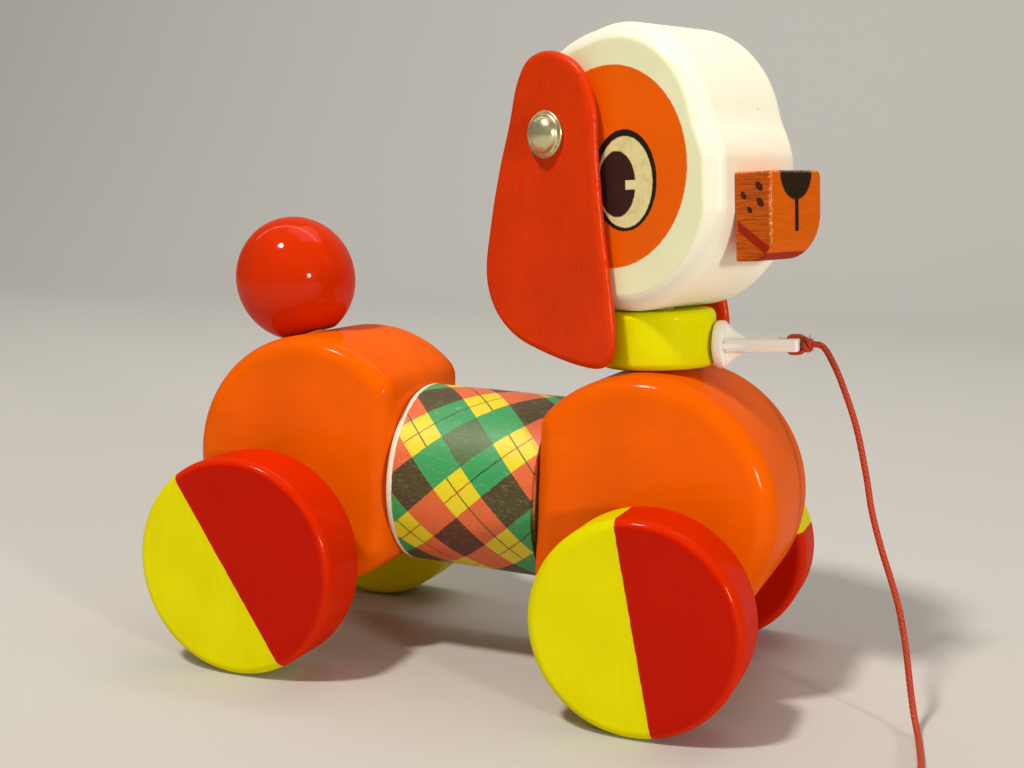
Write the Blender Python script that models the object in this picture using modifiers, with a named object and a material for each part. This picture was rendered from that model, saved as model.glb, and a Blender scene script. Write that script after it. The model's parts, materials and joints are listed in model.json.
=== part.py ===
"""Pull along toy dog: painted wooden blocks on four wheels, with a turning head,
swinging ears, a paper covered tube for a belly and a waxed pull cord.

Metres, +Z up. The dog looks along +X and stands on z = 0. The origin is on the
ground in the middle of the toy. The head is modelled turned to the dog's right.
"""

from math import acos, atan2, ceil, cos, hypot, pi, radians, sin

import bmesh
import bpy
from mathutils import Matrix, Vector

MM = 0.001
GAP = 0.3 * MM                       # between pieces that touch

# wheels and axles
FRONT_AXLE_X = 60.2 * MM             # front axle ahead of the origin
FRONT_WHEEL_R = 30.0 * MM
REAR_WHEEL_R = 33.0 * MM
AXLE_R = 2.5 * MM
TRACK_OUT = 55.5 * MM                # centre line to a wheel's outer face
WHEEL_T = 20.0 * MM
WHEEL_ROUND = 3.0 * MM
HUB_R = 9.0 * MM
HUB_L = 7.2 * MM                     # boss on the inner face
HUB_DEPTH = 14.0 * MM                # blind bore past the inner face

# body, in the body frame: origin on the front axle, nose down by BODY_PITCH
BODY_PITCH = radians(1.7)
BLOCK_R = 39.4 * MM
BLOCK_HALF_T = 27.2 * MM
FRONT_FLAT = 31.0 * MM               # block centre to its flat end
REAR_FLAT = 28.95 * MM
BLOCK_CORNER = 8.0 * MM
BLOCK_ROUND = 6.0 * MM
FRONT_BLOCK = Vector((-8.6, 0, 24.0)) * MM
REAR_BLOCK = Vector((-116.3, 0, 26.8)) * MM
REAR_AXLE = Vector((-123.5, 0, -0.6)) * MM

TUBE_R = 28.0 * MM
TUBE_WALL = 2.0 * MM
TUBE_Z = 23.1 * MM
TUBE_PLUG_T = 8.0 * MM
WAIST_DOWEL_R = 6.0 * MM
WAIST_DOWEL_GRIP = 15.0 * MM         # into each block

# neck, in the neck frame: origin at the front block's centre, Z up the neck
NECK_LEAN = radians(-4.5)
COLLAR_R = 17.2 * MM
COLLAR_H = 16.8 * MM
COLLAR_ROUND = 2.2 * MM
COLLAR_Z = BLOCK_R + GAP
NECK_DOWEL_R = 5.0 * MM
NECK_DOWEL_FROM = 18.0 * MM
NECK_DOWEL_TO = 74.0 * MM

# head, in the head frame: X to the muzzle, Y to the dog's left
HEAD_Z = 102.7 * MM                  # above the front block's centre
HEAD_TURN = radians(-24.1)
HEAD_HALF_T = 19.9 * MM
HEAD_CIRCLES = ((0.9, 2.2, 32.9), (3.4, -11.0, 34.8), (-3.0, -4.0, 38.3))
HEAD_MIDDLE_Z = -5.0 * MM
HEAD_FACET = 37.4 * MM
HEAD_ROUND = 5.2 * MM

MUZZLE_L = 11.6 * MM
MUZZLE_HALF_W = 11.75 * MM
MUZZLE_Z = (-31.9 * MM, -8.2 * MM)
MUZZLE_ROUND = 6.2 * MM              # lower front edge
MUZZLE_CORNER = 7.5 * MM             # lower left corner, seen from the front
MUZZLE_EDGE = 0.8 * MM

EAR_NAIL = Vector((-19.3, 0, 5.4)) * MM
EAR_IN = 1.5 * MM                    # head's side to the ear's plate
EAR_T = 3.4 * MM
EAR_ROUND = 1.3 * MM
EAR_BOSS_R = 6.0 * MM
EAR_HOLE_R = 1.8 * MM
LEFT_EAR_HANG = radians(-5.0)        # further forward than the right ear
EAR_OUTLINE = ((2.0, 23.5), (-7.3, 22.3), (-12.6, 15.4), (-16.3, 4.0), (-21.2, -9.3),
               (-25.7, -25.0), (-28.5, -39.6), (-25.7, -50.3), (-17.7, -58.4), (-5.8, -63.2),
               (10.0, -66.9), (19.0, -66.6), (22.8, -60.0), (21.9, -46.0), (19.6, -27.0),
               (18.2, -8.0), (17.6, 7.0), (12.3, 18.2))
NAIL_R = 1.5 * MM
NAIL_L = 14.0 * MM
NAIL_RIM_R = 6.9 * MM
NAIL_DOME_R = 5.6 * MM
NAIL_DOME_H = 3.6 * MM

# tail, in the tail frame: origin at the rear block's centre, Z up the tail
TAIL_LEAN = radians(-19.5)
TAIL_R = 20.3 * MM                   # along its axis; a little less across
TAIL_WIDE_R = 19.3 * MM
TAIL_FLAT = 18.4 * MM                # ball centre to its flat foot
TAIL_DOWEL_R = 4.0 * MM
TAIL_DOWEL_GRIP = 13.0 * MM

# cord plug, in its own frame: origin at the flange's back, X along the stem
PLUG_Z = 46.0 * MM                   # above the front block's centre
PLUG_FLANGE_R = 7.0 * MM
PLUG_FLANGE_T = 3.0 * MM
PLUG_STEM_END = 24.4 * MM
PLUG_STEM_HALF_W = 4.4 * MM
PLUG_STEM_HALF_T = 1.8 * MM
PLUG_FIN_END = 12.0 * MM
PLUG_FIN_T = 2.4 * MM
PLUG_SLOT = (13.6 * MM, 21.8 * MM)
PLUG_SLOT_HALF_W = 1.8 * MM
PLUG_PEG_R = 3.0 * MM
PLUG_PEG_L = 11.0 * MM

# pull cord: the stretch from the knot on the plug to the coil on the ground, in mm
CORD_R = 0.9 * MM
CORD_STEP = 4.4 * MM
CORD_ROUTE = ((96.8, 0, 102.6), (98.7, 0, 101.6), (100.9, -0.1, 98.2), (103.9, -0.5, 92.2),
              (108.6, -1.5, 80.2), (112.2, -3.0, 66.7), (114.4, -4.7, 57.0), (117.6, -7.0, 47.5),
              (121.0, -9.0, 38.9), (123.7, -11.0, 31.6), (126.1, -13.3, 22.2), (128.0, -16.0, 12.4),
              (129.5, -18.6, 5.8), (130.9, -22.0, 2.0), (132.0, -27.5, 0.95), (133.0, -35.0, 0.95),
              (133.9, -43.0, 0.95), (134.0, -52.0, 0.95), (133.6, -62.4, 0.95))
TAIL_ROUTE = ((155.9, -82.2, 1.9), (158.6, -80.6, 1.2), (162.0, -79.0, 0.95), (166.0, -78.2, 0.95))
COIL_CENTRE = (146.5 * MM, -70.0 * MM)
COIL_IN = 6.6 * MM
COIL_OUT = 14.0 * MM
COIL_H = 3.8 * MM
KNOT_R = (2.1 * MM, 2.3 * MM, 2.3 * MM)
END_KNOT_R = (2.4 * MM, 2.1 * MM, 2.1 * MM)

# colours: sRGB-like values turned to linear by colour()
ORANGE = (0.86, 0.36, 0.03)
RED = (0.72, 0.10, 0.03)
YELLOW = (0.85, 0.80, 0.05)
WHITE = (0.93, 0.91, 0.80)
PINE = (0.80, 0.64, 0.42)


# ---------------------------------------------------------------- scene helpers

def clear_scene():
    for obj in list(bpy.data.objects):
        bpy.data.objects.remove(obj, do_unlink=True)


def new_collection(name):
    collection = bpy.data.collections.new(name)
    bpy.context.scene.collection.children.link(collection)
    return collection


def colour(rgb):
    return tuple(channel ** 2.2 for channel in rgb) + (1.0,)


def material(name, rgb, roughness, metallic=0.0):
    mat = bpy.data.materials.new(name)
    mat.use_nodes = True
    shader = mat.node_tree.nodes["Principled BSDF"]
    shader.inputs["Base Color"].default_value = colour(rgb)
    shader.inputs["Roughness"].default_value = roughness
    shader.inputs["Metallic"].default_value = metallic
    return mat


def smooth(mesh, angle=radians(35)):
    mesh.shade_smooth()
    mesh.set_sharp_from_angle(angle=angle)


def empty(name, parent=None, location=(0, 0, 0), rotation=(0, 0, 0)):
    obj = bpy.data.objects.new(name, None)
    PARTS.objects.link(obj)
    obj.parent = parent
    obj.location = location
    obj.rotation_euler = rotation
    return obj


def piece(name, mesh, mat, parent=None, location=(0, 0, 0), rotation=(0, 0, 0)):
    """A sub-part: one named object in the toy's collection."""
    obj = bpy.data.objects.new(name, mesh)
    PARTS.objects.link(obj)
    if mat is not None and not mesh.materials:
        mesh.materials.append(mat)
    obj.parent = parent
    obj.location = location
    obj.rotation_euler = rotation
    return obj


def cutter(name, mesh, parent, location=(0, 0, 0), rotation=(0, 0, 0)):
    obj = bpy.data.objects.new(name, mesh)
    CUTTERS.objects.link(obj)
    obj.parent = parent
    obj.location = location
    obj.rotation_euler = rotation
    obj.hide_render = True
    obj.display_type = "WIRE"
    return obj


def boolean(obj, other, operation="DIFFERENCE"):
    mod = obj.modifiers.new(operation.title(), "BOOLEAN")
    mod.operation = operation
    mod.solver = "EXACT"
    mod.object = other


def bevel(obj, width, segments=3, angle=radians(50)):
    mod = obj.modifiers.new("Bevel", "BEVEL")
    mod.width = width
    mod.segments = segments
    mod.limit_method = "ANGLE"
    mod.angle_limit = angle


# ---------------------------------------------------------------- shapes

def rod_mesh(name, radius, z_from, z_to, sides=32):
    """A cylinder along Z."""
    mesh = bpy.data.meshes.new(name)
    bm = bmesh.new()
    bmesh.ops.create_cone(bm, cap_ends=True, segments=sides, radius1=radius, radius2=radius,
                          depth=z_to - z_from)
    bmesh.ops.translate(bm, verts=bm.verts, vec=(0, 0, (z_from + z_to) / 2))
    bm.to_mesh(mesh)
    bm.free()
    smooth(mesh)
    return mesh


def ball_mesh(name, radii, centre=(0, 0, 0), sides=24, rings=16):
    mesh = bpy.data.meshes.new(name)
    bm = bmesh.new()
    bmesh.ops.create_uvsphere(bm, u_segments=sides, v_segments=rings, radius=1.0)
    bmesh.ops.scale(bm, verts=bm.verts, vec=radii)
    bmesh.ops.translate(bm, verts=bm.verts, vec=centre)
    bm.to_mesh(mesh)
    bm.free()
    smooth(mesh)
    return mesh


def turned(name, profile, mat, parent=None, location=(0, 0, 0), rotation=(0, 0, 0), sides=40):
    """A turned piece about its Z: a profile of (radius, z) run from top to bottom."""
    mesh = bpy.data.meshes.new(name)
    mesh.from_pydata([(r, 0, z) for r, z in profile],
                     [(i, i + 1) for i in range(len(profile) - 1)], [])
    obj = piece(name, mesh, mat, parent, location, rotation)
    mod = obj.modifiers.new("Screw", "SCREW")
    mod.steps = mod.render_steps = sides
    mod.use_merge_vertices = True
    mod.merge_threshold = 0.00001
    mod.use_smooth_shade = True
    return obj


def arc(centre_r, centre_z, radius, start, end, count):
    """Profile points on an arc, angles in degrees from the +r axis."""
    return [(centre_r + radius * cos(radians(start + (end - start) * i / count)),
             centre_z + radius * sin(radians(start + (end - start) * i / count)))
            for i in range(count + 1)]


def plate_mesh(name, outline, half_t, upright=True):
    """A flat outline of (x, z) points as a slab about y = 0, or of (x, y) about z = 0."""
    curve = bpy.data.curves.new(name, "CURVE")
    curve.dimensions = "2D"
    curve.fill_mode = "BOTH"
    curve.extrude = half_t
    spline = curve.splines.new("POLY")
    spline.points.add(len(outline) - 1)
    for point, (x, y) in zip(spline.points, outline):
        point.co = (x, y, 0, 1)
    spline.use_cyclic_u = True
    source = bpy.data.objects.new(name, curve)
    PARTS.objects.link(source)
    graph = bpy.context.evaluated_depsgraph_get()
    mesh = bpy.data.meshes.new_from_object(source.evaluated_get(graph))
    bpy.data.objects.remove(source, do_unlink=True)
    bm = bmesh.new()
    bm.from_mesh(mesh)
    bmesh.ops.remove_doubles(bm, verts=bm.verts, dist=0.000001)
    bmesh.ops.dissolve_limit(bm, angle_limit=radians(0.5), verts=bm.verts, edges=bm.edges)
    bm.to_mesh(mesh)
    bm.free()
    if upright:
        mesh.transform(Matrix.Rotation(radians(90), 4, "X"))
    smooth(mesh)
    return mesh


def smooth_route(points, step, closed=False):
    """Even points on a Catmull-Rom curve through the given ones."""
    pts = [Vector(p) for p in points]
    count = len(pts)
    spans = count if closed else count - 1
    fine = []
    for i in range(spans):
        if closed:
            a, b, c, d = (pts[(i + k) % count] for k in (-1, 0, 1, 2))
        else:
            a, b, c, d = (pts[min(max(i + k, 0), count - 1)] for k in (-1, 0, 1, 2))
        for k in range(12):
            t = k / 12
            fine.append(0.5 * (2 * b + (c - a) * t + (2 * a - 5 * b + 4 * c - d) * t * t
                               + (3 * b - a - 3 * c + d) * t ** 3))
    fine.append(pts[0] if closed else pts[-1])
    length = sum((q - p).length for p, q in zip(fine, fine[1:]))
    pieces = ceil(length / step)
    even = [fine[0]]
    walked = 0.0
    for p, q in zip(fine, fine[1:]):
        span = (q - p).length
        while len(even) < pieces and walked + span >= length * len(even) / pieces - 1e-12:
            even.append(p.lerp(q, (length * len(even) / pieces - walked) / span))
        walked += span
    return even if closed else even + [fine[-1]]


def tube_piece(name, route, radius, mat):
    curve = bpy.data.curves.new(name, "CURVE")
    curve.dimensions = "3D"
    curve.bevel_depth = radius
    curve.bevel_resolution = 2
    curve.use_fill_caps = True
    spline = curve.splines.new("POLY")
    spline.points.add(len(route) - 1)
    for point, co in zip(spline.points, route):
        point.co = (*co, 1)
    obj = bpy.data.objects.new(name, curve)
    PARTS.objects.link(obj)
    curve.materials.append(mat)
    return obj


# ---------------------------------------------------------------- wheels

def wheel(name, radius, axle, side, mat):
    """A turned wheel with rounded edges, a boss inside and a blind bore for the axle."""
    bore = AXLE_R + GAP
    profile = [(0, WHEEL_T)]
    profile += arc(radius - WHEEL_ROUND, WHEEL_T - WHEEL_ROUND, WHEEL_ROUND, 90, 0, 3)
    profile += arc(radius - WHEEL_ROUND, WHEEL_ROUND, WHEEL_ROUND, 0, -90, 3)
    profile += [(HUB_R, 0), (HUB_R, -HUB_L), (bore, -HUB_L), (bore, HUB_DEPTH), (0, HUB_DEPTH)]
    inner_face = side * (TRACK_OUT - WHEEL_T)
    location = (axle.x, inner_face, axle.z)
    return turned(name, profile, mat, BODY, location, (radians(-90 * side), 0, 0), sides=36)


def axle_rod(name, axle, mat):
    half = TRACK_OUT - WHEEL_T + HUB_DEPTH - GAP
    mesh = rod_mesh(name, AXLE_R, -half, half, sides=20)
    return piece(name, mesh, mat, BODY, axle, (radians(90), 0, 0))


def running_gear():
    paint = material("wheel_paint", RED, 0.25)
    steel = material("axle_steel", (0.6, 0.6, 0.6), 0.35, 1.0)
    front = Vector((0, 0, 0))
    for end, radius, axle in (("front", FRONT_WHEEL_R, front), ("rear", REAR_WHEEL_R, REAR_AXLE)):
        wheel(f"wheel_{end}_right", radius, axle, -1, paint)
        wheel(f"wheel_{end}_left", radius, axle, 1, paint)
        axle_rod(f"{end}_axle", axle, steel)


# ---------------------------------------------------------------- body

def block_outline(facing, flat):
    """A circle cut flat on one side, with the two corners rounded. facing: +1 flat at +X."""
    reach = flat - BLOCK_CORNER
    rise = ((BLOCK_R - BLOCK_CORNER) ** 2 - reach ** 2) ** 0.5
    open_angle = atan2(rise, reach)
    points = []
    for sign in (-1, 1):
        for i in range(5):
            angle = open_angle * (i / 4 if sign > 0 else 1 - i / 4)
            points.append((reach + BLOCK_CORNER * cos(angle),
                           sign * (rise + BLOCK_CORNER * sin(angle))))
    for i in range(1, 36):
        angle = open_angle + (2 * pi - 2 * open_angle) * i / 36
        points.append((BLOCK_R * cos(angle), BLOCK_R * sin(angle)))
    return [(facing * x, z) for x, z in points]


def body_block(name, centre, facing, flat, axle, mat):
    outline = block_outline(facing, flat)
    obj = piece(name, plate_mesh(name, outline, BLOCK_HALF_T), mat, BODY, centre)
    bevel(obj, BLOCK_ROUND, 3)
    reach = BLOCK_HALF_T * 2
    hole = rod_mesh(f"{name}_axle_hole", AXLE_R + GAP, -reach, reach, 20)
    boolean(obj, cutter(f"{name}_axle_hole", hole, BODY, axle, (radians(90), 0, 0)))
    grip = WAIST_DOWEL_GRIP + GAP
    hole = rod_mesh(f"{name}_waist_hole", WAIST_DOWEL_R + GAP, -grip, grip, 24)
    at = (centre.x + facing * flat, 0, TUBE_Z)
    boolean(obj, cutter(f"{name}_waist_hole", hole, BODY, at, (0, radians(90), 0)))
    return obj


def belly():
    """The tube between the blocks, its two end plugs and the dowel that joins the blocks."""
    rear_end = REAR_BLOCK.x + REAR_FLAT + GAP
    front_end = FRONT_BLOCK.x - FRONT_FLAT - GAP
    along_x = (0, radians(90), 0)
    card = material("tube_card", (0.25, 0.55, 0.33), 0.7)
    inner = TUBE_R - TUBE_WALL
    length = front_end - rear_end
    ring = [(inner, length), (TUBE_R, length), (TUBE_R, 0), (inner, 0), (inner, length)]
    turned("body_tube", ring, card, BODY, (rear_end, 0, TUBE_Z), along_x, sides=40)

    pine = material("pine", PINE, 0.7)
    bore = WAIST_DOWEL_R + GAP
    outer = inner - GAP
    disc = [(bore, TUBE_PLUG_T), (outer, TUBE_PLUG_T), (outer, 0), (bore, 0), (bore, TUBE_PLUG_T)]
    turned("tube_plug_rear", disc, pine, BODY, (rear_end, 0, TUBE_Z), along_x, sides=32)
    at = (front_end - TUBE_PLUG_T, 0, TUBE_Z)
    turned("tube_plug_front", disc, pine, BODY, at, along_x, sides=32)
    dowel = rod_mesh("waist_dowel", WAIST_DOWEL_R, rear_end - WAIST_DOWEL_GRIP,
                     front_end + WAIST_DOWEL_GRIP, 20)
    piece("waist_dowel", dowel, material("waist_dowel_wood", PINE, 0.7), BODY,
          (0, 0, TUBE_Z), along_x)


def body():
    paint = material("body_paint", ORANGE, 0.25)
    front = body_block("front_body", FRONT_BLOCK, -1, FRONT_FLAT, Vector((0, 0, 0)), paint)
    rear = body_block("rear_body", REAR_BLOCK, 1, REAR_FLAT, REAR_AXLE, paint)
    neck_hole = rod_mesh("neck_hole", NECK_DOWEL_R + GAP, NECK_DOWEL_FROM - GAP, BLOCK_R * 1.2, 24)
    boolean(front, cutter("neck_hole", neck_hole, NECK))
    tail_hole = rod_mesh("tail_hole", TAIL_DOWEL_R + GAP, BLOCK_R - TAIL_DOWEL_GRIP - GAP,
                         BLOCK_R * 1.2, 20)
    boolean(rear, cutter("tail_hole", tail_hole, TAIL))
    belly()


def neck():
    top = COLLAR_Z + COLLAR_H
    bore = NECK_DOWEL_R + GAP
    edge = COLLAR_R - COLLAR_ROUND
    profile = [(bore, top)]
    profile += arc(edge, top - COLLAR_ROUND, COLLAR_ROUND, 90, 0, 3)
    profile += arc(edge, COLLAR_Z + COLLAR_ROUND, COLLAR_ROUND, 0, -90, 3)
    profile += [(bore, COLLAR_Z), (bore, top)]
    collar = turned("neck_collar", profile, material("collar_paint", YELLOW, 0.2), NECK, sides=32)
    hole = rod_mesh("plug_hole", PLUG_PEG_R + GAP, -PLUG_PEG_L - GAP, PLUG_PEG_L, 20)
    at = (COLLAR_R + GAP, 0, PLUG_Z)
    boolean(collar, cutter("plug_hole", hole, NECK, at, (0, radians(90), 0)))
    dowel = rod_mesh("neck_dowel", NECK_DOWEL_R, NECK_DOWEL_FROM, NECK_DOWEL_TO, 24)
    piece("neck_dowel", dowel, material("neck_dowel_wood", PINE, 0.7), NECK)


def tail():
    """The ball on the rump, cut flat at its foot and pegged with a dowel."""
    foot = BLOCK_R + GAP
    centre = foot + TAIL_FLAT
    foot_angle = acos(TAIL_FLAT / TAIL_R)
    steps = 12
    profile = []
    for i in range(steps + 1):
        angle = (pi - foot_angle) * i / steps
        profile.append((TAIL_WIDE_R * sin(angle), centre + TAIL_R * cos(angle)))
    bore = TAIL_DOWEL_R + GAP
    bore_top = foot + TAIL_DOWEL_GRIP + GAP
    profile += [(bore, foot), (bore, bore_top), (0, bore_top)]
    turned("tail_ball", profile, material("tail_paint", RED, 0.15), TAIL, sides=28)
    dowel = rod_mesh("tail_dowel", TAIL_DOWEL_R, BLOCK_R - TAIL_DOWEL_GRIP,
                     foot + TAIL_DOWEL_GRIP, 20)
    piece("tail_dowel", dowel, material("tail_dowel_wood", PINE, 0.7), TAIL)


# ---------------------------------------------------------------- head

def head_outline(count=60):
    """The widest of three circles in each direction, cut off at the muzzle's facet."""
    points = []
    for i in range(count):
        angle = 2 * pi * i / count
        direction = (cos(angle), sin(angle))
        best = 0.0
        for x, z, radius in HEAD_CIRCLES:
            x, z, radius = x * MM, z * MM - HEAD_MIDDLE_Z, radius * MM
            along = x * direction[0] + z * direction[1]
            across = x * direction[1] - z * direction[0]
            best = max(best, along + (radius ** 2 - across ** 2) ** 0.5)
        x, z = best * direction[0], best * direction[1] + HEAD_MIDDLE_Z
        points.append((min(x, HEAD_FACET), z))
    return points


def head_block():
    mesh = plate_mesh("head_block", head_outline(), HEAD_HALF_T)
    obj = piece("head_block", mesh, material("head_paint", WHITE, 0.35), HEAD)
    bevel(obj, HEAD_ROUND, 3)
    hole = rod_mesh("head_neck_hole", NECK_DOWEL_R + GAP, COLLAR_Z, NECK_DOWEL_TO + GAP, 24)
    boolean(obj, cutter("head_neck_hole", hole, NECK))
    for side, word in ((-1, "right"), (1, "left")):
        hole = rod_mesh(f"nail_hole_{word}", NAIL_R + GAP, -NAIL_L, NAIL_L, 16)
        at = (EAR_NAIL.x, side * HEAD_HALF_T, EAR_NAIL.z)
        boolean(obj, cutter(f"nail_hole_{word}", hole, HEAD, at, (radians(90), 0, 0)))


def muzzle():
    """A block whose lower front edge is rounded over and whose lower left corner is rounder."""
    low, high = MUZZLE_Z
    end = HEAD_FACET + MUZZLE_L
    depths = [HEAD_FACET + GAP, end - MUZZLE_ROUND]
    depths += [end - MUZZLE_ROUND * (1 - sin(radians(a))) for a in (20, 38, 54, 68)] + [end]
    rings = []
    for x in depths:
        run = max(0.0, x - end + MUZZLE_ROUND)
        lift = MUZZLE_ROUND - (MUZZLE_ROUND ** 2 - run ** 2) ** 0.5
        inset = MUZZLE_EDGE if x == end else 0.0
        bottom, top, wide = low + lift, high - inset, MUZZLE_HALF_W - inset
        ring = []
        for sign, z, radius, start in ((1, bottom, MUZZLE_CORNER, -90), (1, top, MUZZLE_EDGE, 0),
                                       (-1, top, MUZZLE_EDGE, 90), (-1, bottom, MUZZLE_EDGE, 180)):
            steps = 6 if radius > 2 * MUZZLE_EDGE else 2
            middle = z + radius if z == bottom else z - radius
            for i in range(steps + 1):
                angle = radians(start + 90 * i / steps)
                ring.append((x, sign * (wide - radius) + radius * cos(angle),
                             middle + radius * sin(angle)))
        rings.append(ring)
    bm = bmesh.new()
    made = [[bm.verts.new(co) for co in ring] for ring in rings]
    for a, b in zip(made, made[1:]):
        for i in range(len(a)):
            j = (i + 1) % len(a)
            bm.faces.new((a[i], a[j], b[j], b[i]))
    bm.faces.new(made[0])
    bm.faces.new(made[-1])
    bmesh.ops.recalc_face_normals(bm, faces=bm.faces)
    mesh = bpy.data.meshes.new("muzzle_block")
    bm.to_mesh(mesh)
    bm.free()
    smooth(mesh)
    piece("muzzle_block", mesh, material("muzzle_wood", (0.80, 0.42, 0.10), 0.5), HEAD)


def ear(side, word, plastic):
    """A moulded plate with a boss on its inner face, hung on the nail."""
    pivot = empty(f"ear_pivot_{word}", HEAD, (EAR_NAIL.x, side * HEAD_HALF_T, EAR_NAIL.z))
    outline = smooth_route([(x * MM, z * MM, 0) for x, z in EAR_OUTLINE], 4.2 * MM, closed=True)
    mesh = plate_mesh(f"ear_{word}", [(p.x, p.y) for p in outline], EAR_T / 2)
    middle = side * (EAR_IN + EAR_T / 2)
    mesh.transform(Matrix.Translation((0, middle, 0)))
    if side > 0:
        mesh.transform(Matrix.Rotation(LEFT_EAR_HANG, 4, "Y"))
    obj = piece(f"ear_{word}", mesh, plastic, pivot)
    bevel(obj, EAR_ROUND, 2)
    boss = rod_mesh(f"ear_boss_{word}", EAR_BOSS_R, GAP, EAR_IN + EAR_T / 2, 28)
    turn = (radians(-90 * side), 0, 0)
    boolean(obj, cutter(f"ear_boss_{word}", boss, pivot, rotation=turn), "UNION")
    hole = rod_mesh(f"ear_hole_{word}", EAR_HOLE_R, -EAR_T, 3 * EAR_T, 20)
    boolean(obj, cutter(f"ear_hole_{word}", hole, pivot, rotation=turn))


def ear_nail(side, word, nickel):
    """An upholsterer's nail: a dome with a flat rim on a shank."""
    under = EAR_IN + EAR_T + GAP
    rim_top = under + 1.0 * MM
    profile = [(NAIL_DOME_R * sin(radians(a)), rim_top + NAIL_DOME_H * cos(radians(a)))
               for a in (0, 18, 36, 54, 72, 90)]
    profile += [(NAIL_RIM_R - 0.4 * MM, rim_top), (NAIL_RIM_R, rim_top - 0.4 * MM),
                (NAIL_RIM_R, under), (NAIL_R, under), (NAIL_R, 1.0 * MM - NAIL_L),
                (0, GAP - NAIL_L)]
    at = (EAR_NAIL.x, side * HEAD_HALF_T, EAR_NAIL.z)
    turned(f"ear_nail_{word}", profile, nickel, HEAD, at, (radians(-90 * side), 0, 0), sides=28)


def head():
    head_block()
    muzzle()
    plastic = material("ear_plastic", RED, 0.4)
    nickel = material("nail_nickel", (0.7, 0.68, 0.6), 0.25, 1.0)
    for side, word in ((-1, "right"), (1, "left")):
        ear(side, word, plastic)
        ear_nail(side, word, nickel)


# ---------------------------------------------------------------- cord

def fin_outline(root, tip, end, length):
    """A tapering fin: wide at the flange, drawn in on a hollow curve to the stem."""
    steps = 6
    upper = [(0, root), (PLUG_FLANGE_T, root)]
    for i in range(1, steps + 1):
        t = i / steps
        upper.append((PLUG_FLANGE_T + (end - PLUG_FLANGE_T) * t, tip + (root - tip) * (1 - t) ** 2))
    if length > end:
        corner = 1.2 * MM
        upper += [(length - corner + corner * sin(a), tip - corner + corner * cos(a))
                  for a in (0, pi / 6, pi / 3, pi / 2)]
    return upper + [(x, -y) for x, y in reversed(upper)]


def cord_plug():
    """Flange, flat stem with a slot for the cord, an upright fin and a peg."""
    nylon = material("plug_nylon", (0.92, 0.90, 0.80), 0.4)
    mount = empty("plug_mount", NECK, (COLLAR_R + GAP, 0, PLUG_Z))
    along_x = (0, radians(90), 0)
    flat = fin_outline(6.4 * MM, PLUG_STEM_HALF_W, PLUG_FIN_END, PLUG_STEM_END)
    mesh = plate_mesh("cord_plug", flat, PLUG_STEM_HALF_T, upright=False)
    obj = piece("cord_plug", mesh, nylon, mount)
    flange = rod_mesh("plug_flange", PLUG_FLANGE_R, 0, PLUG_FLANGE_T, 32)
    boolean(obj, cutter("plug_flange", flange, mount, rotation=along_x), "UNION")
    upright = fin_outline(6.4 * MM, PLUG_STEM_HALF_T - 0.1 * MM, PLUG_FIN_END, 0)
    fin = plate_mesh("plug_fin", upright, PLUG_FIN_T / 2)
    boolean(obj, cutter("plug_fin", fin, mount), "UNION")
    peg = rod_mesh("plug_peg", PLUG_PEG_R, -PLUG_PEG_L, PLUG_FLANGE_T / 2, 20)
    boolean(obj, cutter("plug_peg", peg, mount, rotation=along_x), "UNION")
    slot = []
    for end, start in ((PLUG_SLOT[1], -90), (PLUG_SLOT[0], 90)):
        centre = end - PLUG_SLOT_HALF_W * (1 if start < 0 else -1)
        slot += arc(centre, 0, PLUG_SLOT_HALF_W, start, start + 180, 6)
    hole = plate_mesh("plug_slot", slot, PLUG_STEM_HALF_T * 2, upright=False)
    boolean(obj, cutter("plug_slot", hole, mount))


def pull_cord():
    wax = material("cord_red", (0.70, 0.10, 0.06), 0.5)
    knot_at = (COLLAR_R + GAP + PLUG_STEM_END + GAP + KNOT_R[0], 0, PLUG_Z)
    piece("cord_knot", ball_mesh("cord_knot", KNOT_R, knot_at, 16, 10), wax, NECK)
    route = smooth_route([[c * MM for c in p] for p in CORD_ROUTE], CORD_STEP)
    tube_piece("pull_cord", route, CORD_R, wax)
    ring = [(COIL_IN, COIL_H), (COIL_OUT, COIL_H), (COIL_OUT, 0.05 * MM), (COIL_IN, 0.05 * MM),
            (COIL_IN, COIL_H)]
    turned("cord_coil", ring, wax, None, (*COIL_CENTRE, 0), sides=40)
    end = smooth_route([[c * MM for c in p] for p in TAIL_ROUTE], CORD_STEP / 2)
    tube_piece("cord_tail", end, CORD_R, wax)
    last = end[-1]
    knot_at = (last.x + GAP + END_KNOT_R[0], last.y, END_KNOT_R[2] + 0.05 * MM)
    piece("cord_end_knot", ball_mesh("cord_end_knot", END_KNOT_R, knot_at, 16, 10), wax)


clear_scene()
PARTS = new_collection("pull_along_dog")
CUTTERS = new_collection("cutters")
BODY = empty("body_frame", None, (FRONT_AXLE_X, 0, FRONT_WHEEL_R), (0, BODY_PITCH, 0))
NECK = empty("neck_frame", BODY, FRONT_BLOCK, (0, NECK_LEAN, 0))
TAIL = empty("tail_frame", BODY, REAR_BLOCK, (0, TAIL_LEAN, 0))
HEAD = empty("head_frame", NECK, (0, 0, HEAD_Z), (0, 0, HEAD_TURN))
running_gear()
body()
neck()
tail()
head()
cord_plug()
pull_cord()
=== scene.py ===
"""The looks of the pull along dog: finer pieces and painted, printed and moulded surfaces.

Lengths are written in millimetres and turned to metres by MM, and angles in degrees. Each
piece is made in the frame of what it belongs to: the toy's body, the neck, the head, an ear's
nail or an axle. The toy faces +X and shows its right side, -Y. In the sizes r is a radius,
edge the rounding of an edge and half the half of a thickness or a width.
"""

import json
from math import acos, atan2, cos, pi, radians, sin, sqrt

import bmesh
import bpy
from mathutils import Matrix, Vector


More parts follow.
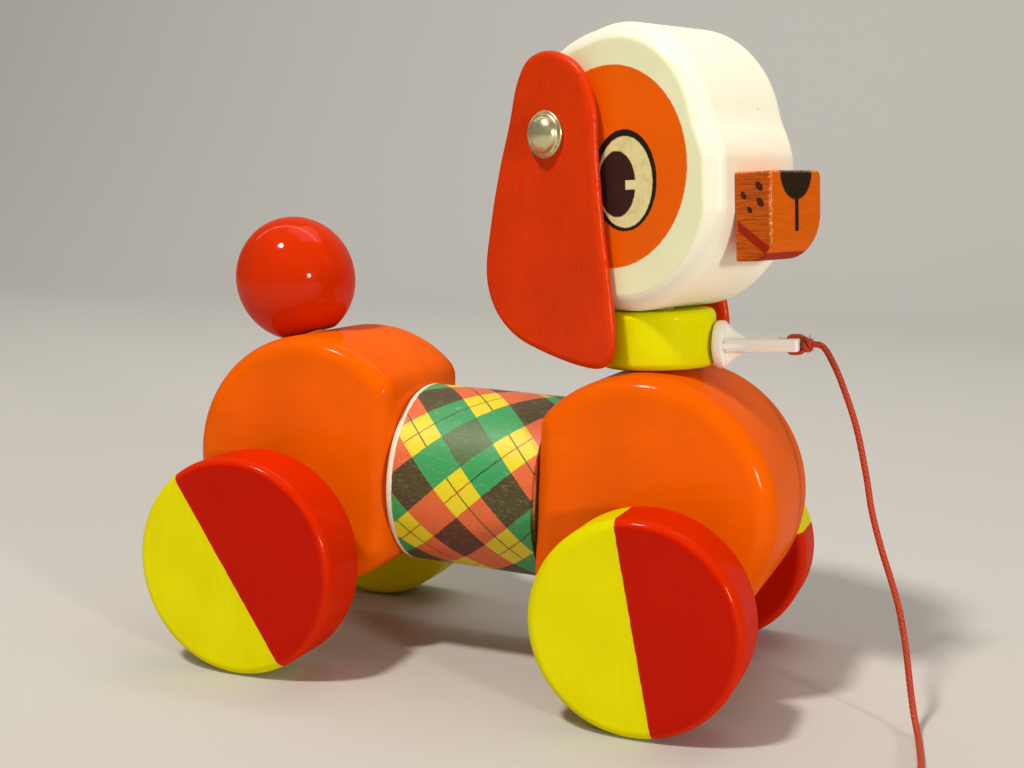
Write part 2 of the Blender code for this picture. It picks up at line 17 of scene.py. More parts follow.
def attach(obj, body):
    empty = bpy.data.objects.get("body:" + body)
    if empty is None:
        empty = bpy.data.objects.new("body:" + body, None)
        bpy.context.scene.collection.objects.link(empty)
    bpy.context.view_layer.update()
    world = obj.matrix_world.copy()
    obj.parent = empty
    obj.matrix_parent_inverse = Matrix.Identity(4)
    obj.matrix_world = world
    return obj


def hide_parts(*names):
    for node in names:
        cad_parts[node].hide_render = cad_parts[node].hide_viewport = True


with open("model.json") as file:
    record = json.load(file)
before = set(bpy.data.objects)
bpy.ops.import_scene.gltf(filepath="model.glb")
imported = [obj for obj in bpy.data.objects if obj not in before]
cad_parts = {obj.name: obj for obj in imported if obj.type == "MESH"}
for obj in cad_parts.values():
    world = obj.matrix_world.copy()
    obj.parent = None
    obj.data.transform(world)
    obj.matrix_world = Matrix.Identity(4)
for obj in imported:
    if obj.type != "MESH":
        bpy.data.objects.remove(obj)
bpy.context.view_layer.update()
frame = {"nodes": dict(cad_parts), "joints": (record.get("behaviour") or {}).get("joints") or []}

MM = 0.001
LEAST_R = 1e-4                       # of a ring on an axis, which remove_doubles closes
PER_SPAN = 24                        # points of a spline between two that are given

# ---------------------------------------------------------------- sizes, in mm
BODY_PITCH = 1.7                     # degrees, nose down
FRONT_BLOCK = (-8.6, 24.0)           # from the front axle, in the body's frame
REAR_BLOCK = (-116.3, 26.8)
BLOCK = dict(r=39.4, corner=8.0, half=27.2, edge=6.0)
FLAT = {"front": 31.0, "rear": 28.95}            # block centre to its flat end
TUBE = dict(r=28.0, wall=2.0, z=23.1, x0=-87.05, x1=-39.9)
TAIL_LEAN = -19.5
TAIL = dict(r=20.3, wide=19.3, foot=39.7, flat=18.4)
WHEEL = dict(out=55.5, thick=20.0, edge=3.0, hub_r=9.0, hub=7.2, bore=2.8, depth=14.0)
WHEEL_R = {"front": 30.0, "rear": 33.0}
WORN_FROM = 27.0                     # from the axle, where the enamel is dulled
# The line between a wheel's two colours: the angle of its normal, how far it passes from the
# axle along that, and which side of it is yellow. -1 is the dog's right, 1 its left.
WHEEL_SPLIT = {("front", -1): (11.5, 0.26, -1), ("front", 1): (102, 2.4, 1),
               ("rear", -1): (33.5, -2.0, -1), ("rear", 1): (100, -4.0, -1)}
COLLAR = dict(r=17.2, z0=39.7, z1=56.5, edge=2.2, bore=5.3)
HEAD_Z = 102.7
HEAD = dict(half=19.9, facet=37.4, edge=5.2, mid=-5.0)
HEAD_CIRCLES = ((0.9, 2.2, 32.9), (3.4, -11.0, 34.8), (-3.0, -4.0, 38.3))   # x, z, radius
MUZZLE = dict(x0=37.7, x1=49.0, half=11.75, z0=-31.9, z1=-8.2, over=6.2, corner=7.5, edge=0.8)
LEFT_EAR_HANG = -5.0                 # degrees, further forward than the right ear
EAR = dict(gap=1.5, thick=3.4, edge=(2.3, 1.6), boss_r=6.0)
EAR_OUTLINE = ((2.0, 23.5), (-7.3, 22.3), (-12.6, 15.4), (-16.3, 4.0), (-21.2, -9.3),
               (-25.7, -25.0), (-28.5, -39.6), (-25.7, -50.3), (-17.7, -58.4), (-5.8, -63.2),
               (10.0, -66.9), (19.0, -66.6), (22.8, -60.0), (21.9, -46.0), (19.6, -27.0),
               (18.2, -8.0), (17.6, 7.0), (12.3, 18.2))
NAIL = dict(rim=6.9, dome=5.5, high=3.6, shank=1.5, length=14.0)
PLUG_Z = 46.0
PLUG = dict(flange=7.0, flange_t=3.0, end=24.4, half_w=4.4, half_t=1.8, fin=12.0, fin_t=2.4,
            slot=(13.6, 21.8), slot_w=1.8)
CORD_D = 1.8
CORD_ROUTE = ((96.8, 0, 102.6), (98.7, 0, 101.6), (100.9, -0.1, 98.2), (103.9, -0.5, 92.2),
              (108.6, -1.5, 80.2), (112.2, -3.0, 66.7), (114.4, -4.7, 57.0), (117.6, -7.0, 47.5),
              (121.0, -9.0, 38.9), (123.7, -11.0, 31.6), (126.1, -13.3, 22.2), (128.0, -16.0, 12.4),
              (129.5, -18.6, 5.8), (130.9, -22.0, 2.0), (132.0, -27.5, 0.95), (133.0, -35.0, 0.95),
              (133.9, -43.0, 0.95), (134.0, -52.0, 0.95), (133.6, -62.4, 0.95))
TAIL_ROUTE = ((155.9, -82.2, 1.9), (158.6, -80.6, 1.2), (162.0, -79.0, 0.95), (166.0, -78.2, 0.95))
# The coil is two flat layers. The cord comes in at entry and entry_r, winds inwards from start
# to r1 on the floor, climbs over climb degrees and winds outwards to r0 again on top.
COIL = dict(x=146.5, y=-70.0, r0=13.1, r1=7.55, z0=0.95, z1=2.8, entry=149.5, entry_r=14.97,
            start=190, turns=3 * 360, climb=120)
STRAND = "cord"                      # the UV map along a cord
# The tartan lies on a diagonal lattice: its origin along the tube and round it, the cosine and
# sine of its slope, half its pitch, the repeat of its colours and a band's half width.
TARTAN = dict(x=-63.26, s=0.96, cos=0.684, sin=0.729, pitch=11.42, repeat=45.7, band=5.45)
PRINT = dict(disc=(-0.2, -5.0, 28.2, 28.3), rim=(5.6, -8.9, 11.8, 14.1),
             white=(5.8, -9.35, 10.1, 12.65), pupil=(2.9, -9.8, 6.9, 9.2))   # x, z, half axes
NOTCH = dict(x=6.1, z0=-11.5, z1=-8.9)
NOSE = (-0.2, -8.7, 7.2, 7.2)        # y, z, half axes
FRECKLES = ((45.3, -12.2, 1.5, 0.9), (40.3, -14.5, 1.15, 0.8),
            (45.6, -16.4, 1.45, 0.95), (42.2, -18.3, 1.05, 0.7))   # x, z, half axes
FRECKLE_LEAN = (0.66, 0.75)          # the cosine and sine
CLEFT = dict(half=0.88, z0=-24.3, z1=-10.0)
# The mouth is a stroke through x and z, along a line whose normal is nx, nz.
MOUTH = dict(x=38.6, z=-22.6, nx=0.582, nz=0.813, half=1.15, x0=38.3)

# ---------------------------------------------------------------- camera and light
CAMERA = dict(azimuth=21.724, pitch=7.908, roll=0.657, lens=47.24, sensor=36,
              place=(156.63, -383.83, 142.78))
WARM, WHITE = (1.0, 0.94, 0.84), (1.0, 1.0, 1.0)
MIDDLE = (0, 0, 0.09)                # of the toy, in metres
LIGHTS = (                           # name, place and target in metres, size, watts, colour
    ("key", (-0.42, -0.96, 1.85), MIDDLE, (0.2, 0.2), 30, WARM),
    ("front", (1.45, -1.04, 0.42), MIDDLE, (0.17, 0.17), 14, WARM),
    ("top", (0.2, 0.5, 1.9), MIDDLE, (1.2, 1.2), 7, WARM),
    ("backdrop", (-0.9, 0.6, 1.9), (-0.9, 2.0, 0.35), (3.6, 0.4), 15, WHITE))
SKY, SKY_STRENGTH = (1.0, 0.97, 0.92, 1), 0.17
FLOOR_TONE = (0.58, 0.57, 0.545)
FLOOR = dict(half=7, near=-6.0, bend=1.2, r=0.8, high=6.0, drop=0.0002)   # metres

# ---------------------------------------------------------------- frames
joints = {j["name"]: j for j in frame["joints"]}


def axes(origin, x, y, z):
    """The frame at origin with those three directions as its axes."""
    m = Matrix((x, y, z)).transposed().to_4x4()
    m.translation = origin
    return m


neck_up = Vector(joints["head_swivel"]["axis"]).normalized()
neck_at = Vector(joints["head_swivel"]["pos_m"])
left = Vector((0, 1, 0))
NECK = axes(neck_at, left.cross(neck_up), left, neck_up)
head_left = Vector(joints["right_ear_swing"]["axis"]).normalized()
head_at = neck_at + neck_up * HEAD_Z * MM
HEADF = axes(head_at, head_left.cross(neck_up), head_left, neck_up)
EAR_AT = {-1: joints["right_ear_swing"]["pos_m"], 1: joints["left_ear_swing"]["pos_m"]}
AXLES = {"front": Vector(joints["front_axle_spin"]["pos_m"]),
         "rear": Vector(joints["rear_axle_spin"]["pos_m"])}
BODYF = Matrix.Translation(AXLES["front"]) @ Matrix.Rotation(radians(BODY_PITCH), 4, "Y")


def at(frame_matrix, x, y, z):
    return frame_matrix @ Matrix.Translation((x * MM, y * MM, z * MM))


PLUGF = at(NECK, COLLAR["r"] + 0.3, 0, PLUG_Z)


def linked(name, data):
    """A new object in the scene."""
    obj = bpy.data.objects.new(name, data)
    bpy.context.scene.collection.objects.link(obj)
    return obj


# ---------------------------------------------------------------- shapes
def piece(name, bm, material, matrix, body, replaces, sharp=40, weigh=True):
    """A visible piece on its body, smooth across edges of less than sharp degrees."""
    bmesh.ops.remove_doubles(bm, verts=bm.verts, dist=1e-7)
    bmesh.ops.recalc_face_normals(bm, faces=bm.faces)
    mesh = bpy.data.meshes.new(name)
    bm.to_mesh(mesh)
    bm.free()
    mesh.materials.append(material)
    obj = linked(name, mesh)
    mesh.shade_smooth()
    mesh.set_sharp_from_angle(angle=radians(sharp))
    if weigh:
        mod = obj.modifiers.new("Weighted Normal", "WEIGHTED_NORMAL")
        mod.keep_sharp = True
        mod.weight = 60
    obj.matrix_world = matrix
    bpy.context.view_layer.update()
    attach(obj, body)
    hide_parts(*replaces)
    return obj


def skin(bm, rings, ends="fill"):
    """Faces between rings of equal count, with the two ends filled, joined or left open."""
    made = [[bm.verts.new([c * MM for c in p]) for p in ring] for ring in rings]
    n = len(made[0])
    for a, b in zip(made, made[1:] + (made[:1] if ends == "join" else [])):
        for i in range(n):
            bm.faces.new((a[i], a[(i + 1) % n], b[(i + 1) % n], b[i]))
    if ends == "fill":
        bm.faces.new(made[0])
        bm.faces.new(made[-1])
    return made


def lathe(bm, profile, sides, axis):
    """A profile of (radius, height) turned about an axis; radius 0 closes it."""
    rings = []
    for r, h in profile:
        ring = []
        for i in range(sides):
            a = 2 * pi * i / sides
            u, v = max(r, LEAST_R) * cos(a), max(r, LEAST_R) * sin(a)
            ring.append({"Z": (u, v, h), "Y": (u, h, v), "X": (h, u, v)}[axis])
        rings.append(ring)
    skin(bm, rings, "open")


def arc(cr, cz, radius, start, end, count):
    """Points about (cr, cz) from start to end degrees, in count steps."""
    return [(cr + radius * cos(radians(start + (end - start) * i / count)),
             cz + radius * sin(radians(start + (end - start) * i / count)))
            for i in range(count + 1)]


def normals(outline):
    """Outward normals of a closed outline of (x, z), whichever way it runs."""
    n = len(outline)
    area = sum(outline[i][0] * outline[(i + 1) % n][1] - outline[(i + 1) % n][0] * outline[i][1]
               for i in range(n))
    way = 1 if area > 0 else -1
    out = []
    for i in range(n):
        (ax, az), (bx, bz) = outline[i - 1], outline[(i + 1) % n]
        length = sqrt((bx - ax) ** 2 + (bz - az) ** 2)
        out.append((way * (bz - az) / length, -way * (bx - ax) / length))
    return out


def carried(outline, profile, inward=1, flat=False):
    """Rings of an outline of (x, z) along a profile of (inset, y); flat trades y and z."""
    out = normals(outline)
    rings = []
    for d, y in profile:
        ring = [(x - inward * nx * d, z - inward * nz * d)
                for (x, z), (nx, nz) in zip(outline, out)]
        rings.append([(x, z, y) if flat else (x, y, z) for x, z in ring])
    return rings


def rounded(top, wide, deep, steps):
    """A profile of (inset, y) round an edge, from the face at y = top to the side."""
    return [(wide * (1 - cos(pi / 2 * i / steps)), top - deep * (1 - sin(pi / 2 * i / steps)))
            for i in range(steps, -1, -1)]


def both_edges(top):
    """A profile of (inset, y) with its mirror image after it."""
    return top + [(d, -y) for d, y in reversed(top)]


def spline(points, step, closed=False):
    """Even points, about a step apart, on a Catmull-Rom curve through the given ones."""
    pts = [Vector(p) for p in points]
    n = len(pts)
    fine = []
    for i in range(n if closed else n - 1):
        if closed:
            a, b, c, d = (pts[(i + k) % n] for k in (-1, 0, 1, 2))
        else:
            a, b, c, d = (pts[min(max(i + k, 0), n - 1)] for k in (-1, 0, 1, 2))
        for k in range(PER_SPAN):
            t = k / PER_SPAN
            fine.append(0.5 * (2 * b + (c - a) * t + (2 * a - 5 * b + 4 * c - d) * t * t
                               + (3 * b - a - 3 * c + d) * t ** 3))
    fine.append(pts[0] if closed else pts[-1])
    total = sum((q - p).length for p, q in zip(fine, fine[1:]))
    count = max(2, round(total / step))
    even, walked = [fine[0]], 0.0
    for p, q in zip(fine, fine[1:]):
        span = (q - p).length
        while len(even) < count and walked + span >= total * len(even) / count - 1e-9:
            even.append(p.lerp(q, (total * len(even) / count - walked) / max(span, 1e-9)))
        walked += span
    return even if closed else even + [fine[-1]]


def sweep(bm, path, radius, sides, taper=lambda t: 1):
    """A round cord along a path in mm, with its turn and length in a UV map.

    taper gives the share of the radius at t, from 0 to 1 along the path.
    """
    path = [Vector(p) for p in path]
    tangents = [(path[min(i + 1, len(path) - 1)] - path[max(i - 1, 0)]).normalized()
                for i in range(len(path))]
    side = tangents[0].orthogonal().normalized()
    rings, lengths, walked = [], [], 0.0
    for i, (p, t) in enumerate(zip(path, tangents)):
        if i:
            walked += (p - path[i - 1]).length
            side = (side - t * side.dot(t)).normalized()
        up = t.cross(side)
        r = radius * taper(i / (len(path) - 1))
        rings.append([p + (side * cos(2 * pi * k / sides) + up * sin(2 * pi * k / sides)) * r
                      for k in range(sides)])
        lengths.append(walked)
    made = skin(bm, rings)
    layer = bm.loops.layers.uv.get(STRAND) or bm.loops.layers.uv.new(STRAND)
    where = {v: (k / sides, length) for ring, length in zip(made, lengths)
             for k, v in enumerate(ring)}
    for face in {f for ring in made for v in ring for f in v.link_faces}:
        us = [where[loop.vert][0] for loop in face.loops]
        over_seam = len(us) == 4 and max(us) - min(us) > 0.5
        for loop in face.loops:
            u, v = where[loop.vert]
            loop[layer].uv = (u + 1 if over_seam and u < 0.5 else u, v)
    return walked


# ---------------------------------------------------------------- shader arithmetic
class Field:
    """A number or colour that varies over a surface: a shader socket with arithmetic."""

    def __init__(self, mat, socket):
        self.mat, self.socket = mat, socket

    def _op(self, op, *others):
        node = self.mat.add("ShaderNodeMath", operation=op)
        for i, value in enumerate((self,) + others):
            self.mat.feed(node.inputs[i], value)
        return Field(self.mat, node.outputs[0])

    def __add__(self, o): return self._op("ADD", o)
    def __sub__(self, o): return self._op("SUBTRACT", o)
    def __mul__(self, o): return self._op("MULTIPLY", o)
    def __truediv__(self, o): return self._op("DIVIDE", o)
    def __lt__(self, o): return self._op("LESS_THAN", o)
    def __gt__(self, o): return self._op("GREATER_THAN", o)
    def __neg__(self): return self._op("MULTIPLY", -1.0)
    __radd__, __rmul__ = __add__, __mul__
    def __rsub__(self, o): return -self + o
    def abs(self): return self._op("ABSOLUTE")
    def fract(self): return self._op("FRACT")
    def root(self): return self._op("SQRT")
    def power(self, o): return self._op("POWER", o)
    def most(self, o): return self._op("MAXIMUM", o)
    def least(self, o): return self._op("MINIMUM", o)
    def fold(self, half): return self._op("PINGPONG", half)
    def atan2(self, o): return self._op("ARCTAN2", o)

    def ramp(self, low, high, to_low=0.0, to_high=1.0):
        """Smoothly from to_low at low to to_high at high."""
        node = self.mat.add("ShaderNodeMapRange", interpolation_type="SMOOTHSTEP")
        for key, value in zip(("Value", "From Min", "From Max", "To Min", "To Max"),
                              (self, low, high, to_low, to_high)):
            self.mat.feed(node.inputs[key], value)
        return Field(self.mat, node.outputs[0])


class Paint:
    """A Principled material built by name."""

    def __init__(self, name, **values):
        self.material = bpy.data.materials.new(name)
        self.material.use_nodes = True
        self.tree = self.material.node_tree
        self.shader = self.tree.nodes["Principled BSDF"]
        coords = self.add("ShaderNodeTexCoord")
        self.uv = Field(self, coords.outputs["UV"])
        where = self.parts(Field(self, coords.outputs["Object"]))
        self.xyz = [part * (1 / MM) for part in where]                # in mm
        self.place = self.vector(*self.xyz)
        for key, value in values.items():        # coat_weight stands for Coat Weight
            self.set(key.replace("_", " ").title().replace("Ior", "IOR"), value)

    def add(self, kind, **settings):
        node = self.tree.nodes.new(kind)
        for key, value in settings.items():
            setattr(node, key, value)
        return node

    def feed(self, socket, value):
        if isinstance(value, Field):
            self.tree.links.new(value.socket, socket)
        elif isinstance(value, (tuple, list)) and len(value) == 3 and socket.type == "RGBA":
            socket.default_value = (*value, 1.0)
        else:
            socket.default_value = value

    def set(self, key, value):
        self.feed(self.shader.inputs[key], value)

    def parts(self, field):
        node = self.add("ShaderNodeSeparateXYZ")
        self.feed(node.inputs[0], field)
        return [Field(self, node.outputs[i]) for i in range(3)]

    def vector(self, x, y, z):
        node = self.add("ShaderNodeCombineXYZ")
        for socket, value in zip(node.inputs, (x, y, z)):
            self.feed(socket, value)
        return Field(self, node.outputs[0])

    def texture(self, kind, **inputs):
        node = self.add(f"ShaderNodeTex{kind}")
        for key, value in inputs.items():
            self.feed(node.inputs[key], value)
        return Field(self, node.outputs[0])

    def noise(self, vector, scale, detail=3.0, rough=0.5, distort=0.0):
        return self.texture("Noise", Vector=vector, Scale=scale, Detail=detail,
                            Roughness=rough, Distortion=distort)

    def even_noise(self, scale, detail=3.0, rough=0.5):
        """Noise that is alike every way, with about scale lumps to the mm."""
        return self.noise(self.place, scale, detail, rough)

    def grain(self, lengths, scale=1.0, detail=4.0, rough=0.6, distort=0.0):
        """Noise drawn out to those lengths in mm along x, y and z."""
        drawn = [part / length for part, length in zip(self.xyz, lengths)]
        return self.noise(self.vector(*drawn), scale, detail, rough, distort)

    def mix(self, factor, a, b, blend="MIX"):
        node = self.add("ShaderNodeMix", data_type="RGBA", blend_type=blend)
        self.feed(node.inputs[0], factor)
        self.feed(node.inputs[6], a)
        self.feed(node.inputs[7], b)
        return Field(self, node.outputs[2])

    def shade(self, colour, factor):
        """A colour made lighter or darker by a factor about 1."""
        grey = self.add("ShaderNodeCombineColor")
        for socket in grey.inputs[:3]:
            self.feed(socket, factor)
        return self.mix(1.0, colour, Field(self, grey.outputs[0]), "MULTIPLY")

    def bump(self, height, distance):
        """A height from 0 to 1 stands for up to distance mm, in the paint and its coat."""
        node = self.add("ShaderNodeBump")
        self.feed(node.inputs["Height"], height)
        self.feed(node.inputs["Distance"], distance * MM)
        for key in ("Normal", "Coat Normal"):
            self.set(key, Field(self, node.outputs[0]))


def srgb(r, g, b):
    """0 to 255, as a screen shows it, to the linear values that a shader takes."""
    return tuple(c / 255 / 12.92 if c <= 10 else ((c / 255 + 0.055) / 1.055) ** 2.4
                 for c in (r, g, b))


# ---------------------------------------------------------------- studio
def camera():
    azimuth, pitch, roll = (radians(CAMERA[key]) for key in ("azimuth", "pitch", "roll"))
    data = bpy.data.cameras.new("camera")
    data.lens, data.sensor_width = CAMERA["lens"], CAMERA["sensor"]
    data.clip_start, data.clip_end = 0.01, 20
    right = Vector((cos(azimuth), sin(azimuth), 0))
    ahead = Vector((-sin(azimuth) * cos(pitch), cos(azimuth) * cos(pitch), -sin(pitch)))
    up = right.cross(ahead)
    across = right * cos(roll) + up * sin(roll)
    upward = up * cos(roll) - right * sin(roll)
    obj = linked("camera", data)
    obj.matrix_world = axes(Vector(CAMERA["place"]) * MM, across, upward, -ahead)
    bpy.context.scene.camera = obj


def lights():
    for name, place, target, size, watts, colour in LIGHTS:
        data = bpy.data.lights.new(name, "AREA")
        data.shape = "RECTANGLE"
        data.size, data.size_y = size
        data.energy, data.color = watts, colour
        obj = linked(name, data)
        obj.location = place
        away = Vector(place) - Vector(target)
        obj.rotation_euler = away.to_track_quat("Z", "Y").to_euler()
    world = bpy.data.worlds.new("studio")
    bpy.context.scene.world = world
    world.use_nodes = True
    background = world.node_tree.nodes["Background"]
    background.inputs["Color"].default_value = SKY
    background.inputs["Strength"].default_value = SKY_STRENGTH
    bpy.context.scene.view_settings.view_transform = "Standard"


def floor():
    """A pale sheet that bends up behind the toy."""
    f = FLOOR
    bend = [(f["bend"] + f["r"] * sin(radians(a)), f["r"] - f["r"] * cos(radians(a)))
            for a in range(6, 91, 6)]
    path = [(f["near"], 0.0), (f["bend"], 0.0)] + bend + [(f["bend"] + f["r"], f["high"])]
    bm = bmesh.new()
    rows = [[bm.verts.new((x, y, z - f["drop"])) for x in (-f["half"], f["half"])]
            for y, z in path]
    for a, b in zip(rows, rows[1:]):
        bm.faces.new((a[0], a[1], b[1], b[0]))
    mesh = bpy.data.meshes.new("floor")
    bm.to_mesh(mesh)
    bm.free()
    mesh.shade_smooth()
    sheet = linked("floor", mesh)
    pale = Paint("floor_pale", roughness=0.7, specular_ior_level=0.2, base_color=FLOOR_TONE)
    mesh.materials.append(pale.material)


# ---------------------------------------------------------------- surfaces
def speckle(paint, scale, size, share):
    """Scattered small spots, 1 on a spot, in patches that cover about that share."""
    where = paint.vector(*[part * scale for part in paint.xyz])
    spots = paint.texture("Voronoi", Vector=where, Scale=1.0).ramp(size, size * 0.6)
    return spots * (paint.noise(where, 0.9, 1.0) > 1.0 - share)


def enamel(name, coat, rough, **values):
    """Paint that mirrors by a weak clear coat alone, so the pale studio doesn't veil it."""
    return Paint(name, specular_ior_level=0.0, coat_weight=coat, coat_roughness=rough, **values)


def gloss_paint(name, colour, dark, grain, rough, specks, peel=0.12, coat=0.14):
    """Brushed enamel on wood: slight colour drift, orange peel, faint grain and dust nibs."""
    paint = enamel(name, coat, rough)
    drift = paint.even_noise(0.035).ramp(0.3, 0.7, 0.93, 1.06)
    lines = paint.grain(grain, 0.9).ramp(0.35, 0.75, 0.98, 1.015)
    nibs = speckle(paint, 0.075, 0.045, specks)
    paint.set("Base Color", paint.mix(nibs * 0.7, paint.shade(colour, drift * lines), dark))
    wobble, ripple = paint.even_noise(0.22, 2.0), paint.even_noise(1.1, 2.0)
    paint.bump(wobble * 0.7 + ripple * 0.12 + lines * 0.25 + nibs * 0.3, peel)
    smear = paint.even_noise(0.09, 4.0, 0.6).ramp(0.45, 0.75)
    paint.set("Roughness", smear * 0.1 + rough)
    return paint.material


def two_tone(name, angle, offset, yellow_side, radius):
    """A wheel's enamel: red one side of a line past the axle, yellow the other."""
    paint = enamel(name, 0.14, 0.14)
    x, _, z = paint.xyz
    edge = paint.even_noise(0.35) * 0.5 - 0.25
    along = x * cos(radians(angle)) + z * sin(radians(angle)) - offset + edge
    yellow = (along * (8.0 * yellow_side)).ramp(-0.5, 0.5)
    drift = paint.even_noise(0.05).ramp(0.3, 0.7, 0.97, 1.03)
    grain = paint.grain((0.9, 3, 14), 0.9).ramp(0.3, 0.8, 0.98, 1.02)
    nibs = speckle(paint, 0.085, 0.04, 0.3)
    from_axle = (x * x + z * z).root()
    # The tread and the outer rounding are painted a lighter, more orange red than the faces:
    # painted light from above and the right.
    tread_painted_light = from_axle.ramp(radius - 2.6, radius - 0.8)
    red = paint.mix(nibs * 0.75, paint.mix(tread_painted_light, srgb(184, 20, 0), srgb(212, 40, 0)),
                    srgb(70, 10, 4))
    yell = paint.mix(nibs * 0.5, srgb(224, 216, 0), srgb(120, 100, 10))
    paint.set("Base Color", paint.shade(paint.mix(yellow, red, yell), drift * grain))
    ridge = (along.abs() * -2.2).ramp(-1.0, 0.0)          # of paint, where the colours meet
    wobble = paint.even_noise(0.2, 2.0)
    paint.bump(wobble * 0.6 + grain * 0.3 + ridge * 0.25 + (1.0 - yellow) * 0.1, 0.14)
    worn = paint.even_noise(0.5, 4.0, 0.6).ramp(0.66, 0.72) * (from_axle > WORN_FROM)
    smear = paint.even_noise(0.1, 4.0, 0.6).ramp(0.4, 0.75)
    paint.set("Roughness", smear * 0.16 + worn * 0.15 + 0.15)
    return paint.material


def pine():
    paint = Paint("bare_pine_grain", roughness=0.6)
    grain = paint.grain((26, 1.2, 1.2), distort=0.6)
    paint.set("Base Color", paint.mix(grain.ramp(0.35, 0.7), srgb(222, 186, 134),
                                      srgb(176, 128, 78)))
    paint.bump(grain, 0.12)
    return paint.material


def bright_steel():
    paint = Paint("axle_bright_steel", metallic=1.0)
    x, y, z = paint.xyz
    scuff = paint.noise(paint.vector(x * 3.0, y * 0.4, z * 3.0), 1.0, 4.0)
    paint.set("Base Color", paint.mix(scuff, srgb(150, 148, 142), srgb(205, 203, 196)))
    paint.set("Roughness", scuff.ramp(0.3, 0.7, 0.22, 0.42))
    paint.bump(scuff, 0.02)
    return paint.material


def nickel():
    """Dulled nickel plate: pale, a little yellow, with spots of tarnish round the rim."""
    paint = Paint("nail_nickel_plate", metallic=0.85)
    x, y, z = paint.xyz
    haze = paint.even_noise(0.7, 4.0, 0.6)
    rim = (x * x + z * z).root().ramp(NAIL["dome"] - 0.3, NAIL["dome"] + 0.4)
    tarnish = haze.ramp(0.5, 0.66) * (rim * 0.7 + 0.1)
    paint.set("Base Color", paint.mix(tarnish, srgb(214, 208, 164), srgb(170, 158, 112)))
    paint.set("Roughness", haze.ramp(0.3, 0.7, 0.24, 0.34) + tarnish * 0.15)
    scratch = paint.noise(paint.vector(x * 0.7 + z * 2.5, y, z * 0.5 - x * 1.8), 1.6)
    paint.bump(scratch * 0.4 + haze * 0.6, 0.003)
    return paint.material


def tartan():
    """Printed paper on the tube: a check on the diagonal, in green, red, yellow and dark."""
    t = TARTAN
    paint = Paint("tartan_paper", specular_ior_level=0.4)
    x, y, z = paint.xyz
    wobble = paint.even_noise(0.5) * 0.5 - 0.25
    along = x - t["x"] + wobble
    around = z.atan2(-y) * TUBE["r"] - t["s"] - wobble
    a, b = along * t["cos"] - around * t["sin"], along * t["sin"] + around * t["cos"]
    near_a, near_b = a.fold(t["pitch"]), b.fold(t["pitch"])       # mm from a band's middle
    on_a = near_a.ramp(t["band"] + 0.1, t["band"] - 0.1)
    on_b = near_b.ramp(t["band"] + 0.1, t["band"] - 0.1)
    green_a = (a * (1 / t["repeat"])).fract() > 0.5
    green_b = (b * (1 / t["repeat"])).fract() < 0.5
    green, red, yellow = srgb(56, 158, 92), srgb(226, 104, 54), srgb(232, 216, 28)
    band_a = paint.mix(green_a, red, green)
    band_b = paint.mix(green_b, red, green)
    both = green_a + green_b
    dark = paint.mix(both.ramp(0.0, 1.0), srgb(94, 46, 28), srgb(76, 68, 40))
    dark = paint.mix(both.ramp(1.0, 2.0), dark, srgb(82, 112, 70))
    base = paint.mix(on_b, paint.mix(on_a, dark, band_b), paint.mix(on_a, band_a, yellow))
    thin_b = near_b.ramp(0.3, 0.16) * (1.0 - (1.0 - on_a) * green_a)
    base = paint.mix(thin_b * 0.85, base, srgb(52, 70, 16))
    thin_a = near_a.ramp(0.28, 0.15) * (1.0 - (1.0 - on_b) * (1.0 - green_b))
    base = paint.mix(thin_a * 0.85, base, paint.mix(on_b, srgb(24, 70, 30), srgb(186, 56, 12)))
    fibre = paint.noise(paint.vector(x * 0.7 + z * 0.2, y * 1.2, z * 1.3), 0.9, 5.0, 0.65, 1.4)
    pale = fibre.ramp(0.52, 0.72)
    base = paint.mix(pale * 0.24, base, srgb(226, 206, 150))
    rub = paint.even_noise(0.16, 4.0, 0.7)
    base = paint.mix(rub.ramp(0.66, 0.74) * 0.4, base, srgb(222, 205, 160))
    torn = paint.even_noise(0.45, 4.0, 0.6) * 0.9                 # the paper's rear edge
    bare = (x + torn).ramp(TUBE["x0"] + 2.7, TUBE["x0"] + 2.4)
    card = paint.mix(fibre, srgb(252, 246, 226), srgb(232, 222, 194))
    paint.set("Base Color", paint.mix(bare, base, card))
    paint.set("Roughness", pale * 0.2 + bare * 0.25 + 0.4)
    paint.bump(fibre * 0.6 + (1.0 - bare) * 0.4, 0.16)
    return paint.material


